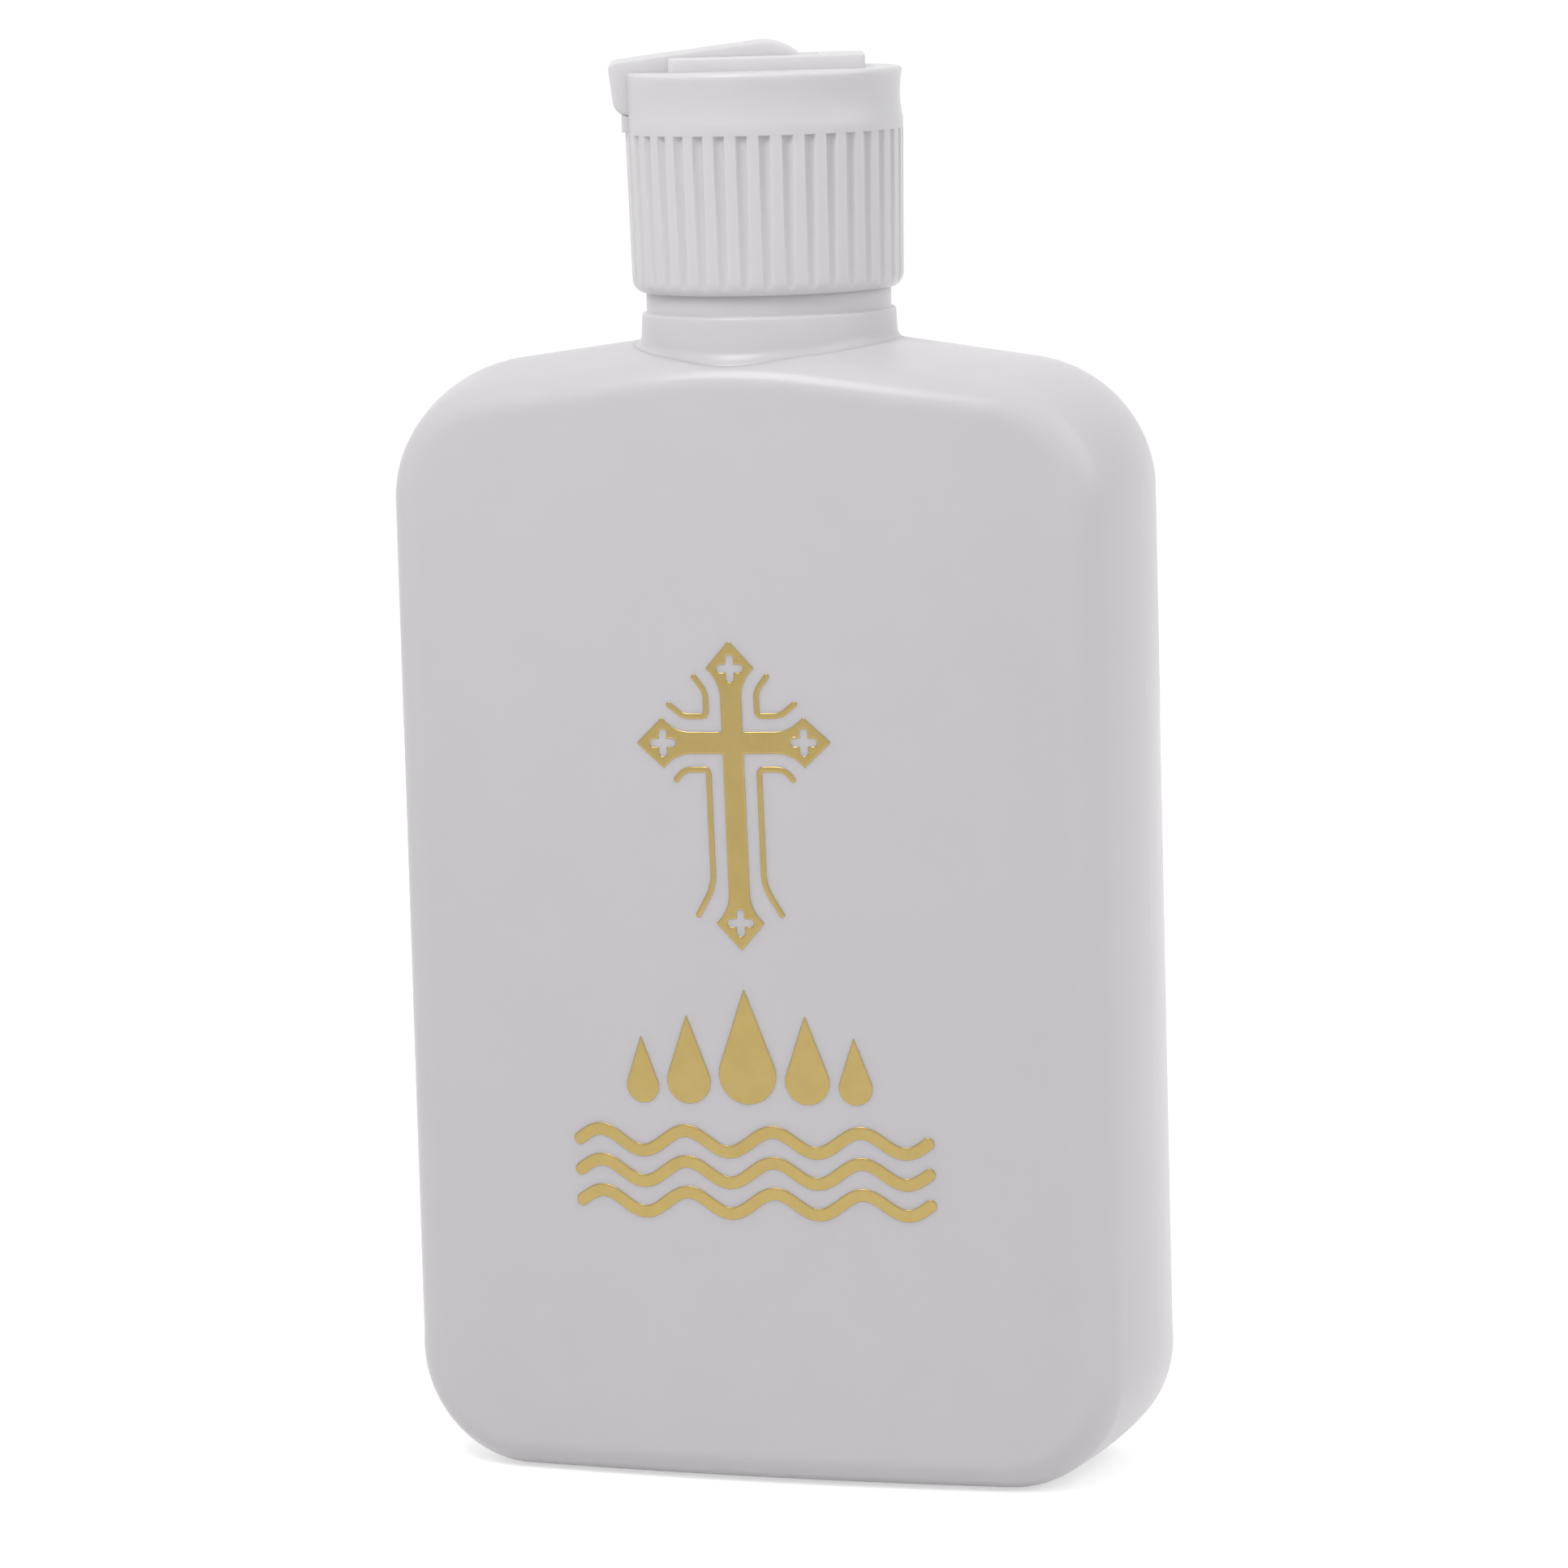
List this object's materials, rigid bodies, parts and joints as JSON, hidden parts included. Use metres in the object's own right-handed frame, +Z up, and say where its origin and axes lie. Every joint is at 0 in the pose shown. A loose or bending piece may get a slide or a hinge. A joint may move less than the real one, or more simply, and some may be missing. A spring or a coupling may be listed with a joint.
{
  "type": "holy water bottle",
  "caption": "Flat white plastic flask with a ribbed screw cap, a fold-down pouring spout and a gold foil cross, for carrying and pouring blessed water.",
  "frame": {"origin": "middle of the base, on the surface that the bottle stands on", "axes": "+Z up along the neck, -Y out of the decorated face, +X to the right seen from the front"},
  "size_m": [0.0664, 0.0253, 0.1245],
  "materials": {
    "bottle_plastic": "satin blow-moulded polyethylene",
    "cap_plastic": "satin injection-moulded polypropylene",
    "liner_foam": "soft closed-cell foam",
    "gold_foil": "bright hot-stamped foil"
  },
  "bodies": {
    "flask": {"bottle": "bottle_plastic", "foil_cross": "gold_foil", "foil_tracery": "gold_foil", "foil_drops": "gold_foil", "foil_waves": "gold_foil"},
    "washer": {"liner": "liner_foam"},
    "closure": {"cap": "cap_plastic"},
    "pourer": {"spout": "cap_plastic"}
  },
  "joints": [
    {"name": "cap_lift", "type": "slide", "parent": "flask", "child": "washer", "axis": [0, 0, 1], "range_m": [0, 0.00953]},
    {"name": "cap_turn", "type": "hinge", "parent": "washer", "child": "closure", "pos_m": [0, 0, 0.112], "axis": [0, 0, 1], "range_deg": [0, 1080]},
    {"name": "spout_flip", "type": "hinge", "parent": "closure", "child": "pourer", "pos_m": [0, 0, 0.1198], "axis": [-0.3256, 0.9455, 0], "range_deg": [0, 86]}
  ],
  "couplings": [
    {"joint": "cap_lift", "follows": "cap_turn", "m_per_rad": 0.00050532}
  ]
}
